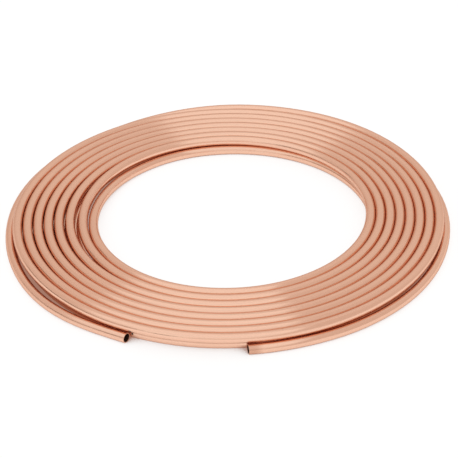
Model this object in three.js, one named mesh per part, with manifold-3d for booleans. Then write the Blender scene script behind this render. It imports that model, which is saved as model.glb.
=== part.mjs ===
// A two-layer flat coil of soft copper tube, lying flat on the floor, with both sawn ends outside.
// Millimetres, +Z up. The floor is z = 0 and the origin is under the middle of the bounding box.
import * as THREE from 'three';
import { mergeVertices } from 'three/addons/utils/BufferGeometryUtils.js';
import Module from 'manifold-3d';

const wasm = await Module();
wasm.setup();
const { degToRad, lerp, smoothstep } = THREE.MathUtils;

// ---------------------------------------------------------------- the tube
const TUBE_OD = 14;
const TUBE_WALL = 1;
const BORE_DIAMETER = TUBE_OD - 2 * TUBE_WALL;

// ---------------------------------------------------------------- the close turns
const EYE_RADIUS = 197; // free radius inside the innermost close turn
const TURN_GAP = 0.4;   // clearance between neighbouring turns of a layer
const CLOSE_TURNS = 7;  // turns of each layer that lie side by side
const TURN_PITCH = TUBE_OD + TURN_GAP;
const FIRST_TURN_RADIUS = EYE_RADIUS + TUBE_OD / 2;
const LAST_TURN_RADIUS = FIRST_TURN_RADIUS + (CLOSE_TURNS - 1) * TURN_PITCH;
const LOWER_AXIS_HEIGHT = TUBE_OD / 2;
const UPPER_AXIS_HEIGHT = LOWER_AXIS_HEIGHT + TUBE_OD;

// ---------------------------------------------------------------- the loose turns
// Each waypoint is [turn angle in degrees, distance of the axis outside the turn it leaves].
// Turn angles start at the front, -Y, and grow counter-clockwise as seen from above.
// A loose turn starts at its sawn end and finishes buried in the close turns.
const LOWER_OUTER_TURN = [
  [4.5, 21.8], [15, 22.9], [30, 25.2], [45, 26.3], [60, 25.9], [75, 24], [90, 22.7], [120, 19.2],
  [150, 13.6], [180, 8], [205, 3], [225, -0.5],
];
const UPPER_OUTER_TURN = [
  [694.4, 17.3], [690, 18.2], [675, 22], [660, 22.2], [645, 19.2], [630, 18.3], [615, 18.9], [600, 19.7],
  [585, 19.1], [570, 17.7], [540, 16], [495, 16.2], [450, 14.2], [405, 16.3], [360, 14.1], [330, 10.7],
  [300, 8.7], [270, 7.8], [250, 5.8], [230, -0.5],
];
const INNER_CROSSOVER = [
  [120, 0.5], [160, 0.5], [180, -1.1], [200, -2.6], [210, -4.4], [230, -9.9], [240, -12.9], [250, -15.1],
  [260, -15.9], [270, -15.5], [280, -13.9], [300, -9.9], [320, -6.9], [340, -4.6], [360, -2.7], [390, -0.3],
  [405, 0.5],
];
const LOWER_BORE_STOP = 180;                     // turn angle where the lower end's bore stops
const UPPER_BORE_STOP = 540;
const TAIL_DROP = { from: 533, to: 598 };        // where the upper turn comes down to the floor
const CROSSOVER_CLIMB = { from: 212, to: 299 };  // where the tube climbs to the upper layer

// ---------------------------------------------------------------- facets
const SECTION_SIDES = 12;
const TURN_SEGMENTS = 36;
const FACET_ANGLE = 360 / SECTION_SIDES;
// The flats lie on the true circle, so the faceted tube measures its diameter across them.
const CORNER_TO_FLAT = 1 / Math.cos(degToRad(FACET_ANGLE / 2));
const CUT_OVERRUN = 2;        // how far a bore's cutter starts outside the sawn end
const WELD_DISTANCE = 1e-4;

const copper = new THREE.MeshStandardMaterial({ color: 0xd9aa92, roughness: 0.35, metalness: 1 });

/** A stretch of tube axis around the coil, between two turn angles. */
class TubeRoute extends THREE.Curve {
  constructor(waypoints, baseRadius, heightAt, fromAngle, toAngle) {
    super();
    const inOrder = [...waypoints].sort((a, b) => a[0] - b[0]);
    const angles = inOrder.map(([angle]) => angle);
    const radii = inOrder.map(([, offset]) => baseRadius + offset);
    this.radiusAt = new THREE.CubicInterpolant(angles, radii, 1);
    this.heightAt = heightAt;
    this.fromAngle = fromAngle;
    this.toAngle = toAngle;
  }

  getPoint(share) {
    const turnAngle = lerp(this.fromAngle, this.toAngle, share);
    const [radius] = this.radiusAt.evaluate(turnAngle);
    const angle = degToRad(turnAngle);
    return new THREE.Vector3(radius * Math.sin(angle), -radius * Math.cos(angle), this.heightAt(turnAngle));
  }
}

/** Facet corners of a round section between two angles, as (radius, height). */
function sectionCorners(axisRadius, axisHeight, diameter, fromAngle, toAngle) {
  const reach = (diameter / 2) * CORNER_TO_FLAT;
  const steps = Math.round((toAngle - fromAngle) / FACET_ANGLE);
  return Array.from({ length: steps + 1 }, (_, i) => {
    const angle = degToRad(fromAngle + i * FACET_ANGLE);
    return new THREE.Vector2(axisRadius + reach * Math.cos(angle), axisHeight + reach * Math.sin(angle));
  });
}

/** Section of the close turns: round under each lower turn, round over each upper one. */
function closeTurnsOutline() {
  const half = FACET_ANGLE / 2;
  const last = CLOSE_TURNS - 1;
  const outline = [];
  for (let turn = 0; turn <= last; turn += 1) {
    const from = turn === 0 ? 90 + half : 180 + half;
    const to = turn === last ? 450 - half : 360 - half;
    const radius = FIRST_TURN_RADIUS + turn * TURN_PITCH;
    outline.push(...sectionCorners(radius, LOWER_AXIS_HEIGHT, TUBE_OD, from, to));
  }
  for (let turn = last; turn >= 0; turn -= 1) {
    const from = turn === last ? -90 + half : half;
    const to = turn === 0 ? 270 - half : 180 - half;
    const radius = FIRST_TURN_RADIUS + turn * TURN_PITCH;
    outline.push(...sectionCorners(radius, UPPER_AXIS_HEIGHT, TUBE_OD, from, to));
  }
  outline.push(outline[0].clone());
  return outline;
}

function toSolid(geometry) {
  geometry.deleteAttribute('normal');
  geometry.deleteAttribute('uv');
  const welded = mergeVertices(geometry, WELD_DISTANCE);
  return new wasm.Manifold(new wasm.Mesh({
    numProp: 3,
    vertProperties: new Float32Array(welded.attributes.position.array),
    triVerts: new Uint32Array(welded.index.array),
  }));
}

function toGeometry(solid) {
  const { vertProperties, triVerts } = solid.getMesh();
  const geometry = new THREE.BufferGeometry();
  geometry.setAttribute('position', new THREE.BufferAttribute(vertProperties, 3));
  geometry.setIndex(new THREE.BufferAttribute(triVerts, 1));
  geometry.computeVertexNormals();
  return geometry;
}

/** A round bar of the given diameter swept along a route. */
function sweptBar(route, diameter) {
  const degreesSwept = Math.abs(route.toAngle - route.fromAngle);
  const section = sectionCorners(0, 0, diameter, FACET_ANGLE / 2, 360 - FACET_ANGLE / 2);
  return toSolid(new THREE.ExtrudeGeometry(new THREE.Shape(section), {
    steps: Math.ceil((degreesSwept / 360) * TURN_SEGMENTS),
    extrudePath: route,
    bevelEnabled: false,
  }));
}

/** A loose turn, as a bar along its whole route. */
function looseTurn(waypoints, baseRadius, heightAt) {
  const [[start], [end]] = [waypoints[0], waypoints.at(-1)];
  return sweptBar(new TubeRoute(waypoints, baseRadius, heightAt, start, end), TUBE_OD);
}

/** The cutter for a loose turn's bore, from just outside its sawn end to where the bore stops. */
function boreCutter(waypoints, heightAt, stopAngle) {
  const [mouthAngle, mouthOffset] = waypoints[0];
  const overrun = THREE.MathUtils.radToDeg(CUT_OVERRUN / (LAST_TURN_RADIUS + mouthOffset));
  const start = mouthAngle + Math.sign(mouthAngle - stopAngle) * overrun;
  return sweptBar(new TubeRoute(waypoints, LAST_TURN_RADIUS, heightAt, start, stopAngle), BORE_DIAMETER);
}

/** The close turns of both layers: one turned solid around the open eye. */
function closeTurns() {
  return toSolid(new THREE.LatheGeometry(closeTurnsOutline(), TURN_SEGMENTS).rotateX(Math.PI / 2));
}

function lowerHeight() {
  return LOWER_AXIS_HEIGHT;
}

/** The outer turn stays on the upper layer, then comes down to the floor beside the coil. */
function upperOuterHeight(turnAngle) {
  return lerp(UPPER_AXIS_HEIGHT, LOWER_AXIS_HEIGHT, smoothstep(turnAngle, TAIL_DROP.from, TAIL_DROP.to));
}

/** Inside the eye the tube climbs from the lower layer's inner turn to the upper layer's. */
function crossoverHeight(turnAngle) {
  const climb = smoothstep(turnAngle, CROSSOVER_CLIMB.from, CROSSOVER_CLIMB.to);
  return lerp(LOWER_AXIS_HEIGHT, UPPER_AXIS_HEIGHT, climb);
}

/** The whole coil, one piece of tube from sawn end to sawn end. */
function copperTube() {
  const solid = closeTurns()
    .add(looseTurn(INNER_CROSSOVER, FIRST_TURN_RADIUS, crossoverHeight))
    .add(looseTurn(LOWER_OUTER_TURN, LAST_TURN_RADIUS, lowerHeight))
    .add(looseTurn(UPPER_OUTER_TURN, LAST_TURN_RADIUS, upperOuterHeight))
    .subtract(boreCutter(LOWER_OUTER_TURN, lowerHeight, LOWER_BORE_STOP))
    .subtract(boreCutter(UPPER_OUTER_TURN, upperOuterHeight, UPPER_BORE_STOP));
  const mesh = new THREE.Mesh(toGeometry(solid), copper);
  mesh.name = 'copper_tube';
  return mesh;
}

/** Puts the middle of the bounding box over the origin, with the coil still on the floor. */
function centred(mesh) {
  const middle = new THREE.Box3().setFromObject(mesh).getCenter(new THREE.Vector3());
  mesh.position.set(-middle.x, -middle.y, 0);
  return mesh;
}

const coil = new THREE.Group();
coil.add(centred(copperTube()));

export default coil;
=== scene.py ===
"""The looks of a two-layer flat coil of soft copper tube, on a white studio floor.

The tube is one continuous hollow piece. It starts at the sawn end on the right, runs inward on the
floor turn by turn, climbs inside the eye and runs outward again on top of the lower layer, until its
other end drops back to the floor on the left.
"""
import logging
import math
from dataclasses import dataclass
from enum import Enum

import bpy
import numpy as np
from mathutils import Matrix


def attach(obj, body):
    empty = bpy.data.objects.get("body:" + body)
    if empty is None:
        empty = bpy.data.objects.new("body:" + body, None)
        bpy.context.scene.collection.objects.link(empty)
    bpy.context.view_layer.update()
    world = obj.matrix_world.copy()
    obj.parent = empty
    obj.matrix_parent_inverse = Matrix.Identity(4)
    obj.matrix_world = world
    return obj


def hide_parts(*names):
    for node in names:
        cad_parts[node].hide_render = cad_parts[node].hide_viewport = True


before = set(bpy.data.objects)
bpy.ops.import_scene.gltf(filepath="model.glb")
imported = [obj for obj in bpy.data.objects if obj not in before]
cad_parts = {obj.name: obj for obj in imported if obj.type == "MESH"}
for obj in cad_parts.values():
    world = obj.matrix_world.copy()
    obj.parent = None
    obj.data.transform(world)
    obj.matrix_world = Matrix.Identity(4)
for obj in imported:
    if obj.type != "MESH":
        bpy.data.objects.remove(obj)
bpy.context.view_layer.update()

MM = 0.001
MIRROR_BOUNCES = 16
LOG = logging.getLogger("copper_coil")

# Light as linear red, green and blue.
Light = tuple[float, float, float]
COOL_WHITE: Light = (1.0, 1.02, 1.03)

# Places of the tube's axis, each as a turn number and a radius in lay diameters.
Waypoints = tuple[tuple[float, float], ...]


class Surface(Enum):
    """The tube's surfaces, by the place of their finish in the list of materials."""

    OUTSIDE = 0
    BORE = 1
    SAWN_END = 2


def linear_colour(code: str) -> tuple[float, float, float, float]:
    """Turns an sRGB hex colour into the linear colour that a shader takes.

    Args:
        code: The colour as "#rrggbb".

    Returns:
        Linear red, green and blue, and an alpha of 1.
    """
    channels = [int(code[i:i + 2], 16) / 255 for i in (1, 3, 5)]
    linear = [c / 12.92 if c <= 0.04045 else ((c + 0.055) / 1.055) ** 2.4 for c in channels]
    return (*linear, 1.0)


def add_node(tree: bpy.types.NodeTree, kind: str, settings: dict | None = None,
             links: dict | None = None) -> bpy.types.Node:
    """Adds a node with its settings and its incoming links.

    Args:
        tree: The node tree that gets the node.
        kind: The node's Blender type name.
        settings: Values by name, for a property of the node or else for an input socket.
        links: The output socket that feeds each input socket, by the input's name or number.

    Returns:
        The new node.
    """
    node = tree.nodes.new(kind)
    for name, value in (settings or {}).items():
        if isinstance(name, str) and hasattr(node, name):
            setattr(node, name, value)
        else:
            node.inputs[name].default_value = value
    for name, source in (links or {}).items():
        tree.links.new(source, node.inputs[name])
    return node


def smooth_step(value: np.ndarray, low: float, high: float) -> np.ndarray:
    """Rises smoothly from 0 at low to 1 at high."""
    share = np.clip((value - low) / (high - low), 0.0, 1.0)
    return share * share * (3.0 - 2.0 * share)


def nearness(turn: np.ndarray, place: float, reach: float) -> np.ndarray:
    """Falls smoothly from 1 at a place round every turn to 0 at the reach, both in turns."""
    away = np.abs((turn - place + 0.5) % 1.0 - 0.5)
    return 1 - smooth_step(away, 0.0, reach)


def natural_spline(knots: np.ndarray, values: np.ndarray, at: np.ndarray) -> np.ndarray:
    """Interpolates with a natural cubic spline.

    Args:
        knots: Rising places of the given values.
        values: The value at each knot.
        at: The places to work out.

    Returns:
        The spline's values there.
    """
    steps = np.diff(knots)
    slopes = np.diff(values) / steps
    count = len(knots)
    system = np.eye(count)
    right_side = np.zeros(count)
    for i in range(1, count - 1):
        system[i, i - 1:i + 2] = steps[i - 1], 2 * (steps[i - 1] + steps[i]), steps[i]
        right_side[i] = 6 * (slopes[i] - slopes[i - 1])
    bends = np.linalg.solve(system, right_side)
    i = np.clip(np.searchsorted(knots, at) - 1, 0, count - 2)
    x = at - knots[i]
    slope = slopes[i] - steps[i] * (2 * bends[i] + bends[i + 1]) / 6
    return values[i] + x * (slope + x * (bends[i] / 2 + x * (bends[i + 1] - bends[i]) / (6 * steps[i])))


@dataclass(frozen=True)
class Ridges:
    """Low ridges that run along the tube, with their sizes in mm."""

    spacing: float
    length: float
    depth: float
    detail: float = 3.0
    unevenness: float = 0.55

    def add_to(self, tree: bpy.types.NodeTree, place: bpy.types.NodeSocket,
               under: bpy.types.NodeSocket | None = None,
               ) -> tuple[bpy.types.NodeSocket, bpy.types.NodeSocket]:
        """Adds the ridges' nodes.

        Args:
            tree: The material's node tree.
            place: The socket with the place on the surface.
            under: The normal of the surface that carries the ridges, unless it's smooth.

        Returns:
            The sockets with the normal and with the ridges' pattern.
        """
        scale = (1 / self.spacing, 1 / self.spacing, 1 / self.length)
        scaled = add_node(tree, "ShaderNodeVectorMath", {"operation": "MULTIPLY", 1: scale}, {0: place})
        pattern = add_node(tree, "ShaderNodeTexNoise",
                           {"Scale": 1.0, "Detail": self.detail, "Roughness": self.unevenness},
                           {"Vector": scaled.outputs["Vector"]}).outputs["Fac"]
        bump = add_node(tree, "ShaderNodeBump", {"Strength": 1.0, "Distance": self.depth * MM},
                        {"Height": pattern} | ({"Normal": under} if under else {}))
        return bump.outputs["Normal"], pattern


@dataclass(frozen=True)
class DrawnCopper:
    """Soft copper, drawn through a die and annealed: satin, with fine lines along the tube.

    The die leaves fine lines, here as coarse as the picture can show. The bending of the soft tube
    leaves low waves along it, which pull each highlight into long streaks. The furnace leaves a
    patchy haze over the shine, and the metal turns pale at a grazing angle. The stretch next to the
    end that the coil starts with is a darker colour, over the given distances from it in mm.
    """

    base: str = "#f4c5ab"
    darker_end_colour: str = "#dca98f"
    darker_end_stretch: tuple[float, float] = (7.0, 22.0)
    edge_tint: str = "#d8c4bb"
    lines: Ridges = Ridges(spacing=1.1, length=160.0, depth=0.005)
    waves: Ridges = Ridges(spacing=3.6, length=320.0, depth=0.42)
    line_pattern: tuple[float, float] = (0.3, 0.7)
    roughness: tuple[float, float] = (0.07, 0.15)
    haze_pattern: tuple[float, float] = (0.38, 0.62)
    haze_share: tuple[float, float] = (0.0, 0.5)
    haze_roughness: float = 0.4

    def colour(self, tree: bpy.types.NodeTree, place: bpy.types.NodeSocket) -> bpy.types.NodeSocket:
        """Adds the nodes of the metal's colour.

        Args:
            tree: The material's node tree.
            place: The socket with the place on the surface.

        Returns:
            The socket with the colour.
        """
        along = add_node(tree, "ShaderNodeSeparateXYZ", {}, {"Vector": place})
        # Darker colour over the stretch next to the end that the coil starts with.
        past_darker_end = add_node(tree, "ShaderNodeMapRange",
                         {"interpolation_type": "SMOOTHSTEP", "From Min": self.darker_end_stretch[0],
                          "From Max": self.darker_end_stretch[1]}, {"Value": along.outputs["Z"]})
        mixed = add_node(tree, "ShaderNodeMix",
                         {"data_type": "RGBA", 6: linear_colour(self.darker_end_colour),
                          7: linear_colour(self.base)}, {0: past_darker_end.outputs["Result"]})
        return mixed.outputs[2]

    def material(self) -> bpy.types.Material:
        """Builds the material.

        Returns:
            The finished node material.
        """
        material = bpy.data.materials.new("drawn_annealed_copper")
        material.use_nodes = True
        tree = material.node_tree
        tree.nodes.clear()
        place = add_node(tree, "ShaderNodeAttribute",
                         {"attribute_name": TubeSweep.SURFACE_PLACE}).outputs["Vector"]
        wavy, streaks = self.waves.add_to(tree, place)
        lined, lines = self.lines.add_to(tree, place, wavy)
        colour = self.colour(tree, place)
        roughness = add_node(tree, "ShaderNodeMapRange",
                             {"From Min": self.line_pattern[0], "From Max": self.line_pattern[1],
                              "To Min": self.roughness[0], "To Max": self.roughness[1]},
                             {"Value": lines})
        bright = add_node(tree, "ShaderNodeBsdfPrincipled",
                          {"Metallic": 1.0, "Specular Tint": linear_colour(self.edge_tint)},
                          {"Base Color": colour, "Roughness": roughness.outputs["Result"],
                           "Normal": lined})
        haze = add_node(tree, "ShaderNodeBsdfPrincipled",
                        {"Metallic": 1.0, "Roughness": self.haze_roughness,
                         "Specular Tint": linear_colour(self.edge_tint)}, {"Base Color": colour})
        haze_share = add_node(tree, "ShaderNodeMapRange",
                              {"From Min": self.haze_pattern[0], "From Max": self.haze_pattern[1],
                               "To Min": self.haze_share[0], "To Max": self.haze_share[1]},
                              {"Value": streaks})
        shader = add_node(tree, "ShaderNodeMixShader", {},
                          {0: haze_share.outputs["Result"], 1: bright.outputs["BSDF"],
                           2: haze.outputs["BSDF"]})
        add_node(tree, "ShaderNodeOutputMaterial", {}, {"Surface": shader.outputs["Shader"]})
        return material


@dataclass(frozen=True)
class PlainCopper:
    """Copper without drawing lines, for the bore and for the sawn ends."""

    name: str
    base: str
    metallic: float
    roughness: float

    def material(self) -> bpy.types.Material:
        """Builds the material.

        Returns:
            The finished node material.
        """
        material = bpy.data.materials.new(self.name)
        material.use_nodes = True
        tree = material.node_tree
        tree.nodes.clear()
        shader = add_node(tree, "ShaderNodeBsdfPrincipled",
                          {"Base Color": linear_colour(self.base), "Metallic": self.metallic,
                           "Roughness": self.roughness})
        add_node(tree, "ShaderNodeOutputMaterial", {}, {"Surface": shader.outputs["BSDF"]})
        return material


@dataclass
class TubeSweep:
    """A hollow tube swept along a route, with its sizes in mm.

    Both ends are sawn by hand, a few degrees out of square.
    """

    SURFACE_PLACE = "surface_place_mm"

    outer_diameter: float
    wall: float
    saw_slant: float = 7.0
    outer_sides: int = 24
    bore_sides: int = 12

    def rings(self, route: np.ndarray, radius: float, sides: int) -> tuple[np.ndarray, np.ndarray]:
        """Works out the rings of points round the route.

        Args:
            route: Points of the axis, in mm.
            radius: The rings' radius, in mm.
            sides: The number of points in a ring.

        Returns:
            The points, and each point's place on the surface: across, across and along, in mm.
        """
        tangent = np.gradient(route, axis=0)
        tangent /= np.linalg.norm(tangent, axis=1, keepdims=True)
        outward = np.cross(tangent, [0.0, 0.0, 1.0])
        outward /= np.linalg.norm(outward, axis=1, keepdims=True)
        upward = np.cross(outward, tangent)
        angle = 2 * np.pi * (np.arange(sides) + 0.5) / sides
        across = radius * np.cos(angle)[None, :, None]
        rise = radius * np.sin(angle)[None, :, None]
        points = route[:, None, :] + across * outward[:, None, :] + rise * upward[:, None, :]
        slant = np.zeros(len(route))
        slant[[0, -1]] = np.tan(np.radians([self.saw_slant, -self.saw_slant]))
        points += slant[:, None, None] * across * tangent[:, None, :]
        lengths = np.concatenate([[0.0], np.cumsum(np.linalg.norm(np.diff(route, axis=0), axis=1))])
        place = np.empty_like(points)
        place[..., 0] = across[..., 0]
        place[..., 1] = rise[..., 0]
        place[..., 2] = lengths[:, None]
        return points.reshape(-1, 3), place.reshape(-1, 3)

    @staticmethod
    def skin(rings: int, sides: int, first: int, surface: Surface) -> np.ndarray:
        """Works out the four-sided faces between the rings of one skin.

        Args:
            rings: The number of rings.
            sides: The number of points in a ring.
            first: The index of the skin's first point.
            surface: Whether it is the tube's outside or its bore, whose faces look at the axis.

        Returns:
            The corner indices, one row a face.
        """
        ring = np.arange(rings - 1)[:, None] * sides + first
        side = np.arange(sides)[None, :]
        after = (side + 1) % sides
        corners = [ring + side, ring + after, ring + sides + after, ring + sides + side]
        if surface is Surface.BORE:
            corners.reverse()
        return np.stack(corners, axis=-1).reshape(-1, 4)

    def rim(self, outer_first: int, bore_first: int, facing_start: bool) -> np.ndarray:
        """Works out the triangles of a sawn end, between the outer ring and the bore's.

        Args:
            outer_first: The index of the outer ring's first point.
            bore_first: The index of the bore ring's first point.
            facing_start: Whether the end looks back along the route.

        Returns:
            The corner indices, one row a triangle.
        """
        share = self.outer_sides // self.bore_sides
        triangles = []
        for i in range(self.outer_sides):
            here = outer_first + i
            after = outer_first + (i + 1) % self.outer_sides
            inner = bore_first + (i // share)
            triangles.append((here, after, inner))
            if i % share == share - 1:
                inner_after = bore_first + (i // share + 1) % self.bore_sides
                triangles.append((after, inner_after, inner))
        corners = np.array(triangles)
        return corners[:, ::-1] if facing_start else corners

    def build(self, name: str, route: np.ndarray) -> bpy.types.Object:
        """Builds the tube.

        Args:
            name: The object's name.
            route: Points of the axis, in mm.

        Returns:
            The tube as a mesh object, in metres.
        """
        outer, outer_place = self.rings(route, self.outer_diameter / 2, self.outer_sides)
        bore_radius = self.outer_diameter / 2 - self.wall
        bore, bore_place = self.rings(route, bore_radius, self.bore_sides)
        # The sawn ends have points of their own, so that their edges stay sharp.
        parts = [outer, bore, outer[:self.outer_sides], bore[:self.bore_sides],
                 outer[-self.outer_sides:], bore[-self.bore_sides:]]
        firsts = np.cumsum([0] + [len(part) for part in parts]).tolist()
        skins = [self.skin(len(route), self.outer_sides, firsts[0], Surface.OUTSIDE),
                 self.skin(len(route), self.bore_sides, firsts[1], Surface.BORE)]
        rims = [self.rim(firsts[2], firsts[3], True), self.rim(firsts[4], firsts[5], False)]
        mesh = bpy.data.meshes.new(name)
        points = np.concatenate(parts) * MM
        mesh.from_pydata(points.tolist(), [], [face for part in skins + rims for face in part.tolist()])
        surfaces = np.repeat([surface.value for surface in Surface],
                             [len(skins[0]), len(skins[1]), sum(map(len, rims))])
        mesh.polygons.foreach_set("use_smooth", surfaces != Surface.SAWN_END.value)
        mesh.polygons.foreach_set("material_index", surfaces)
        places = mesh.attributes.new(self.SURFACE_PLACE, "FLOAT_VECTOR", "POINT")
        place = np.zeros_like(points)
        place[:firsts[2]] = np.concatenate([outer_place, bore_place])
        places.data.foreach_set("vector", place.ravel())
        mesh.update()
        tube = bpy.data.objects.new(name, mesh)
        bpy.context.scene.collection.objects.link(tube)
        return tube


@dataclass(frozen=True)
class Lean:
    """How far a turn lies outside a round spiral, in lay diameters, at eight places round it.

    The places go counter-clockwise as seen from above, an eighth of a turn apart.
    """

    front: float
    front_right: float
    right: float
    back_right: float
    back: float
    back_left: float
    left: float
    front_left: float

    def offset(self, turn: np.ndarray) -> np.ndarray:
        """Blends the eight places smoothly round the turn.

        Args:
            turn: Turn numbers.

        Returns:
            How far the tube lies outside there, in lay diameters.
        """
        places = (self.front, self.front_right, self.right, self.back_right,
                  self.back, self.back_left, self.left, self.front_left)
        spacing = 1 / len(places)
        return sum(place * nearness(turn, i * spacing, spacing) for i, place in enumerate(places))


@dataclass(frozen=True)
class SpiralLayer:
    """One layer of turns lying side by side, as a nearly round flat spiral.

    Turns count counter-clockwise as seen from above, from the front. Radii are of the tube's axis,
    in lay diameters. The pinch pulls the innermost turns inward on the left, and fades from turn
    to turn.
    """

    LEFT = 0.75

    first_turn: float
    last_turn: float
    mean_radii: Waypoints
    lean_at_first: Lean
    lean_at_last: Lean
    pinch: float = 0.0
    pinch_reach: float = 0.2
    pinch_fade: float = 0.75
    waypoints_per_turn: int = 8

    def radius(self, turn: np.ndarray) -> np.ndarray:
        """Works out the radius of the tube's axis.

        Args:
            turn: Turn numbers within the layer.

        Returns:
            The radii, in lay diameters.
        """
        turns, radii = (np.array(column) for column in zip(*self.mean_radii))
        share = (turn - self.first_turn) / (self.last_turn - self.first_turn)
        return (natural_spline(turns, radii, turn)
                + (1 - share) * self.lean_at_first.offset(turn)
                + share * self.lean_at_last.offset(turn)
                - self.pinch * nearness(turn, self.LEFT, self.pinch_reach)
                * np.exp((self.first_turn - turn) / self.pinch_fade))

    def waypoints(self) -> list[tuple[float, float]]:
        """Lists places of the layer at even spacing.

        Returns:
            Turn numbers and radii, from the layer's first turn to its last.
        """
        count = round((self.last_turn - self.first_turn) * self.waypoints_per_turn)
        turns = np.linspace(self.first_turn, self.last_turn, count + 1)
        return list(zip(turns, self.radius(turns)))


@dataclass
class CopperCoil:
    """The coil: how the one tube lies, its mesh and its finish. Sizes are in mm.

    The turn number starts in the front, at the right-hand sawn end, and grows by one a turn. The
    lay diameter is the tube's diameter with the hair's breadth between two close turns, and radii
    are counted in it. The climb and the drop are the turn numbers between which the tube changes
    from one layer to the other.
    """

    finish: DrawnCopper
    bore_finish: PlainCopper
    sawn_finish: PlainCopper
    tube_diameter: float = 14.0
    tube_wall: float = 1.0
    lay_diameter: float = 14.14
    axis_x: float = -2.506
    axis_y: float = 2.442
    steps_per_turn: int = 120
    right_tail: Waypoints = (
        (0.0125, 22.0), (0.055, 22.09), (0.083, 22.21), (0.125, 22.32), (0.167, 22.3),
        (0.208, 22.17), (0.25, 22.09), (0.333, 21.89), (0.417, 21.5), (0.5, 21.1),
        (0.583, 20.8), (0.667, 20.62), (0.75, 20.55), (0.833, 20.55), (0.917, 20.65))
    lower_layer: SpiralLayer = SpiralLayer(
        first_turn=1.0, last_turn=6.125,
        mean_radii=((1.0, 20.85), (2.75, 19.01), (4.75, 16.89), (6.25, 15.02)),
        lean_at_first=Lean(front=0.0, front_right=0.32, right=0.52, back_right=0.15,
                           back=-0.3, back_left=-0.5, left=-0.54, front_left=-0.42),
        lean_at_last=Lean(front=0.0, front_right=0.0, right=0.0, back_right=-0.1,
                          back=-0.2, back_left=-0.3, left=-0.4, front_left=-0.2))
    crossover: Waypoints = (
        (6.25, 14.98), (6.333, 14.83), (6.417, 14.66), (6.5, 14.43), (6.556, 14.32),
        (6.59, 14.18), (6.64, 13.85), (6.68, 13.54), (6.722, 13.36), (6.764, 13.4),
        (6.806, 13.57), (6.861, 13.8), (6.917, 14.01), (6.972, 14.17))
    upper_layer: SpiralLayer = SpiralLayer(
        first_turn=7.125, last_turn=14.25, mean_radii=((7.0, 14.19), (14.25, 21.476)),
        lean_at_first=Lean(front=0.06, front_right=0.16, right=0.21, back_right=0.12,
                           back=0.02, back_left=-0.11, left=-0.21, front_left=-0.13),
        lean_at_last=Lean(front=0.28, front_right=0.34, right=0.03, back_right=0.02,
                          back=-0.07, back_left=0.03, left=0.06, front_left=0.04),
        pinch=0.8)
    left_tail: Waypoints = (
        (14.375, 21.69), (14.45, 21.68), (14.5, 21.65), (14.555, 21.72), (14.61, 21.85),
        (14.667, 21.93), (14.694, 21.88), (14.722, 21.82), (14.75, 21.78), (14.778, 21.81),
        (14.806, 21.91), (14.833, 22.04), (14.861, 22.07), (14.889, 21.91), (14.913, 21.75),
        (14.9283, 21.79))
    climb: tuple[float, float] = (6.59, 6.83)
    drop: tuple[float, float] = (14.48, 14.66)

    def route(self) -> np.ndarray:
        """Works out the whole axis of the tube.

        Returns:
            Points of the axis in mm, from sawn end to sawn end.
        """
        waypoints = [*self.right_tail, *self.lower_layer.waypoints(), *self.crossover,
                     *self.upper_layer.waypoints(), *self.left_tail]
        knots, radii = (np.array(column) for column in zip(*waypoints))
        first, last = knots[0], knots[-1]
        count = int((last - first) * self.steps_per_turn)
        turn = np.linspace(first, last, count + 1)
        radius = natural_spline(knots, radii, turn) * self.lay_diameter
        layer = smooth_step(turn, *self.climb) - smooth_step(turn, *self.drop)
        height = self.tube_diameter * (0.5 + layer)
        angle = 2 * np.pi * turn
        return np.stack([self.axis_x + radius * np.sin(angle),
                         self.axis_y - radius * np.cos(angle), height], axis=1)

    def build(self) -> bpy.types.Object:
        """Builds the tube, dresses it and ties it to the frame.

        Returns:
            The coil's mesh object.
        """
        route = self.route()
        LOG.info("tube length: %.2f m", np.linalg.norm(np.diff(route, axis=0), axis=1).sum() * MM)
        sweep = TubeSweep(self.tube_diameter, self.tube_wall)
        coil = sweep.build("copper_coil", route)
        finishes = {Surface.OUTSIDE: self.finish, Surface.BORE: self.bore_finish,
                    Surface.SAWN_END: self.sawn_finish}
        for surface in Surface:
            coil.data.materials.append(finishes[surface].material())
        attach(coil, "root")
        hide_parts("copper_tube")
        return coil


@dataclass(frozen=True)
class LampEdge:
    """One soft straight edge of a lamp, as seen from the coil.

    The light rises from nothing to its full strength between two depths along the inward
    direction.
    """

    inward: tuple[float, float, float]
    dark_at: float
    lit_at: float

    def share_inside(self, tree: bpy.types.NodeTree, place: bpy.types.NodeSocket,
                     ) -> bpy.types.NodeSocket:
        """Adds the nodes that tell how far a direction lies inside the edge.

        Args:
            tree: The world's node tree.
            place: The socket with the direction.

        Returns:
            The socket with 0 outside the edge and 1 inside it.
        """
        depth = add_node(tree, "ShaderNodeVectorMath",
                         {"operation": "DOT_PRODUCT", 1: self.inward}, {0: place})
        share = add_node(tree, "ShaderNodeMapRange",
                         {"interpolation_type": "SMOOTHSTEP", "From Min": self.dark_at,
                          "From Max": self.lit_at}, {"Value": depth.outputs["Value"]})
        return share.outputs["Result"]


@dataclass(frozen=True)
class LightPatch:
    """A patch of the surroundings with its own light, bounded by soft straight edges.

    The strength is how far the patch covers what lies under it.
    """

    light: Light
    strength: float
    edges: tuple[LampEdge, ...]

    def lay_over(self, tree: bpy.types.NodeTree, place: bpy.types.NodeSocket,
                 colour: bpy.types.NodeSocket) -> bpy.types.NodeSocket:
        """Adds the nodes that lay the patch over the surroundings' colour.

        Args:
            tree: The world's node tree.
            place: The socket with the direction.
            colour: The socket with the colour so far.

        Returns:
            The socket with the colour, patch included.
        """
        share = None
        for edge in self.edges:
            inside = edge.share_inside(tree, place)
            share = inside if share is None else add_node(
                tree, "ShaderNodeMath", {"operation": "MULTIPLY"}, {0: share, 1: inside}).outputs[0]
        weight = add_node(tree, "ShaderNodeMath", {"operation": "MULTIPLY", 1: self.strength},
                          {0: share})
        mixed = add_node(tree, "ShaderNodeMix", {"data_type": "RGBA", 7: (*self.light, 1)},
                         {0: weight.outputs[0], 6: colour})
        return mixed.outputs[2]


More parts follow.
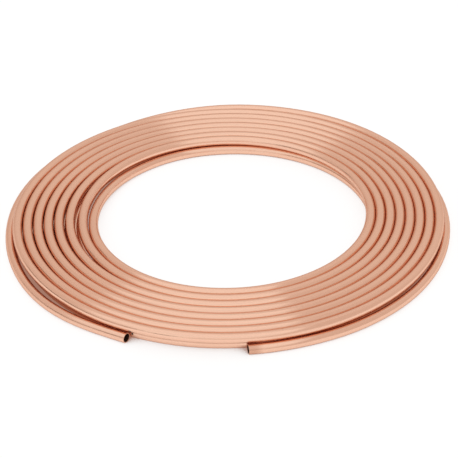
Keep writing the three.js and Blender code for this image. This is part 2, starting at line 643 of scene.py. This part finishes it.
@dataclass(frozen=True)
class FloorPaper:
    """White studio paper, smooth and matt, which shows the coil's shade and nothing else.

    Open paper glows for whatever looks at it, the camera and the copper's mirror images, so that it
    is seen as white. Paper between the turns and at a tube's foot glows instead with one flat, dim,
    reddish colour: painted shade, with painted light that the copper throws on it. Distances are in
    metres, and the pairs of limits are of ambient occlusion.
    """

    coil_axis: tuple[float, float]
    paper: str = "#e7e7e7"
    seen_paper: str = "#959595"
    glow: str = "#ffffff"
    glow_strength: float = 0.775
    # Painted shade with painted reddish copper light, between the turns and at a tube's foot.
    painted_reddish_shade: str = "#a57968"
    shade_reach: float = 0.03
    shade_samples: int = 8
    gap_limits: tuple[float, float] = (0.8, 0.92)
    foot_limits: tuple[float, float] = (0.04, 0.13)

    def open_floor(self, tree: bpy.types.NodeTree) -> bpy.types.NodeSocket:
        """Adds the nodes that tell open paper from paper between the turns and under a tube.

        Args:
            tree: The material's node tree.

        Returns:
            The socket with 1 on open paper and 0 on paper that gets the painted shade.
        """
        near = {"samples": self.shade_samples, "Distance": self.shade_reach}
        place = add_node(tree, "ShaderNodeNewGeometry")
        from_axis = add_node(tree, "ShaderNodeVectorMath",
                             {"operation": "SUBTRACT", 1: (*self.coil_axis, 0)},
                             {0: place.outputs["Position"]})
        outward = add_node(tree, "ShaderNodeVectorMath", {"operation": "NORMALIZE"},
                           {0: from_axis.outputs["Vector"]})
        inward = add_node(tree, "ShaderNodeVectorMath", {"operation": "MULTIPLY", 1: (-1, -1, -1)},
                          {0: outward.outputs["Vector"]})
        # Between the turns, copper stands close by on both sides, so neither way is clear.
        # The paper there gets the painted reddish shade.
        ways = [add_node(tree, "ShaderNodeAmbientOcclusion", near, {"Normal": way.outputs["Vector"]})
                for way in (outward, inward)]
        clearer = add_node(tree, "ShaderNodeMath", {"operation": "MAXIMUM"},
                           {i: way.outputs["AO"] for i, way in enumerate(ways)})
        beside_turns = add_node(tree, "ShaderNodeMapRange",
                                {"interpolation_type": "SMOOTHSTEP", "From Min": self.gap_limits[0],
                                 "From Max": self.gap_limits[1]}, {"Value": clearer.outputs["Value"]})
        # At a tube's foot, the tube hangs over the paper, which gets the painted reddish shade too.
        overhead = add_node(tree, "ShaderNodeAmbientOcclusion", near)
        clear_of_foot = add_node(tree, "ShaderNodeMapRange",
                                 {"interpolation_type": "SMOOTHSTEP", "From Min": self.foot_limits[0],
                                  "From Max": self.foot_limits[1]}, {"Value": overhead.outputs["AO"]})
        return add_node(tree, "ShaderNodeMath", {"operation": "MULTIPLY"},
                        {0: beside_turns.outputs["Result"],
                         1: clear_of_foot.outputs["Result"]}).outputs["Value"]

    @staticmethod
    def looked_at(tree: bpy.types.NodeTree) -> bpy.types.NodeSocket:
        """Adds the nodes that tell whether the paper is looked at, straight or in a mirror.

        Args:
            tree: The material's node tree.

        Returns:
            The socket with 1 where it is looked at and 0 where it only throws light back.
        """
        path = add_node(tree, "ShaderNodeLightPath")
        camera_or_gloss = add_node(tree, "ShaderNodeMath", {"operation": "MAXIMUM"},
                                   {0: path.outputs["Is Camera Ray"], 1: path.outputs["Is Glossy Ray"]})
        return add_node(tree, "ShaderNodeMath", {"operation": "MAXIMUM"},
                        {0: camera_or_gloss.outputs["Value"],
                         1: path.outputs["Is Transmission Ray"]}).outputs["Value"]

    def material(self) -> bpy.types.Material:
        """Builds the material.

        Returns:
            The finished node material.
        """
        material = bpy.data.materials.new("white_floor_paper")
        material.use_nodes = True
        tree = material.node_tree
        tree.nodes.clear()
        paper = add_node(tree, "ShaderNodeBsdfDiffuse", {"Color": linear_colour(self.paper)})
        seen_paper = add_node(tree, "ShaderNodeBsdfDiffuse", {"Color": linear_colour(self.seen_paper)})
        glow = add_node(tree, "ShaderNodeEmission",
                        {"Color": linear_colour(self.glow), "Strength": self.glow_strength})
        seen = add_node(tree, "ShaderNodeAddShader", {}, {0: seen_paper.outputs[0], 1: glow.outputs[0]})
        # Painted shade: a flat dim reddish glow standing in for the shadow and the copper's light.
        covered = add_node(tree, "ShaderNodeEmission",
                           {"Color": linear_colour(self.painted_reddish_shade), "Strength": 1.0})
        looks = add_node(tree, "ShaderNodeMixShader", {},
                         {0: self.open_floor(tree), 1: covered.outputs[0], 2: seen.outputs[0]})
        mix = add_node(tree, "ShaderNodeMixShader", {},
                       {0: self.looked_at(tree), 1: paper.outputs[0], 2: looks.outputs[0]})
        add_node(tree, "ShaderNodeOutputMaterial", {}, {"Surface": mix.outputs[0]})
        return material


@dataclass
class Studio:
    """The white floor, the soft light and the camera, in metres and radians.

    The camera's place is given from the coil's axis.
    """

    coil_axis: tuple[float, float]
    floor_half_width: float = 6.0
    room_light: Light = (0.74, 0.67, 0.635)
    back_wall: LightPatch = LightPatch(COOL_WHITE, 0.27, (
        LampEdge((0.31, 0.852, 0.423), 0.55, 1.0),))
    front_wall: LightPatch = LightPatch(COOL_WHITE, 0.5, (
        LampEdge((-0.165, -0.937, 0.309), 0.76, 0.98),))
    card: LightPatch = LightPatch(COOL_WHITE, 0.85, (
        LampEdge((0.819, -0.574, 0.0), -0.3, -0.12),
        LampEdge((-0.819, 0.574, 0.0), -0.3, -0.12),
        LampEdge((-0.574, -0.819, 0.0), 0.0, 0.1)))
    lamp: LightPatch = LightPatch(COOL_WHITE, 1.0, (
        LampEdge((-0.889, -0.356, 0.289), -0.03, 0.07),
        LampEdge((0.524, -0.672, 0.524), -0.12, 0.06),
        LampEdge((0.0, 0.0, 1.0), 0.3, 0.72)))
    dark_strip: LightPatch = LightPatch((0.15, 0.11, 0.09), 1.0, (
        LampEdge((0.0, 0.0, 1.0), 0.17, 0.2),
        LampEdge((0.0, 0.0, -1.0), -0.31, -0.28),
        LampEdge((-0.966, -0.259, 0.0), 0.6, 0.75)))
    camera_place: tuple[float, float, float] = (0.004193, -2.264210, 1.446268)
    tilt: float = 0.5704
    roll: float = -0.0295
    lens_px: float = 1870.83
    image_px: int = 458
    sensor_mm: float = 36.0
    sight: float = 100.0

    def floor(self) -> bpy.types.Object:
        """Builds the floor.

        Returns:
            The floor object.
        """
        h = self.floor_half_width
        mesh = bpy.data.meshes.new("floor")
        mesh.from_pydata([(-h, -h, 0), (h, -h, 0), (h, h, 0), (-h, h, 0)], [], [(0, 1, 2, 3)])
        mesh.materials.append(FloorPaper(self.coil_axis).material())
        floor = bpy.data.objects.new("floor", mesh)
        bpy.context.scene.collection.objects.link(floor)
        return floor

    def surroundings(self) -> None:
        """Lights the coil from a pale room, with a wide soft lamp, two pale walls and a card.

        A dark strip low on the left darkens the outer flanks of the turns there.
        """
        world = bpy.data.worlds.new("white_studio")
        bpy.context.scene.world = world
        world.use_nodes = True
        tree = world.node_tree
        tree.nodes.clear()
        place = add_node(tree, "ShaderNodeTexCoord").outputs["Generated"]
        colour = add_node(tree, "ShaderNodeRGB").outputs[0]
        colour.default_value = (*self.room_light, 1)
        for patch in (self.back_wall, self.front_wall, self.card, self.lamp, self.dark_strip):
            colour = patch.lay_over(tree, place, colour)
        around = add_node(tree, "ShaderNodeBackground", {"Strength": 1.0}, {"Color": colour})
        add_node(tree, "ShaderNodeOutputWorld", {}, {"Surface": around.outputs[0]})

    def camera(self) -> bpy.types.Object:
        """Sets up the camera.

        Returns:
            The camera object.
        """
        data = bpy.data.cameras.new("camera")
        data.sensor_width = self.sensor_mm
        data.lens = self.lens_px / self.image_px * self.sensor_mm
        data.clip_end = self.sight
        camera = bpy.data.objects.new("camera", data)
        x, y, z = self.camera_place
        camera.location = (x + self.coil_axis[0], y + self.coil_axis[1], z)
        aim = Matrix.Rotation(math.pi / 2 - self.tilt, 4, "X") @ Matrix.Rotation(self.roll, 4, "Z")
        camera.rotation_euler = aim.to_euler()
        bpy.context.scene.collection.objects.link(camera)
        bpy.context.scene.camera = camera
        return camera


def main() -> None:
    """Builds the coil and the studio round it."""
    logging.basicConfig(level=logging.INFO, format="%(message)s")
    scene = bpy.context.scene
    scene.view_settings.view_transform = "Standard"
    # The turns mirror each other many times over before the light leaves the gaps.
    scene.cycles.max_bounces = MIRROR_BOUNCES
    scene.cycles.glossy_bounces = MIRROR_BOUNCES
    coil = CopperCoil(
        finish=DrawnCopper(),
        # Tarnished by the furnace and never polished: each mouth looks into a dark brown hole.
        bore_finish=PlainCopper("tarnished_copper_bore", "#4a2a1c", metallic=0.6, roughness=0.6),
        # Bare metal under the saw's fine scratches: a thin, pale and even ring round the mouth.
        sawn_finish=PlainCopper("fresh_sawn_copper", "#d9a78d", metallic=1.0, roughness=0.35),
    )
    tube = coil.build()
    LOG.info("%s: %d faces", tube.name, len(tube.data.polygons))
    studio = Studio(coil_axis=(coil.axis_x * MM, coil.axis_y * MM))
    studio.floor()
    studio.surroundings()
    studio.camera()


if __name__ == "__main__":
    main()
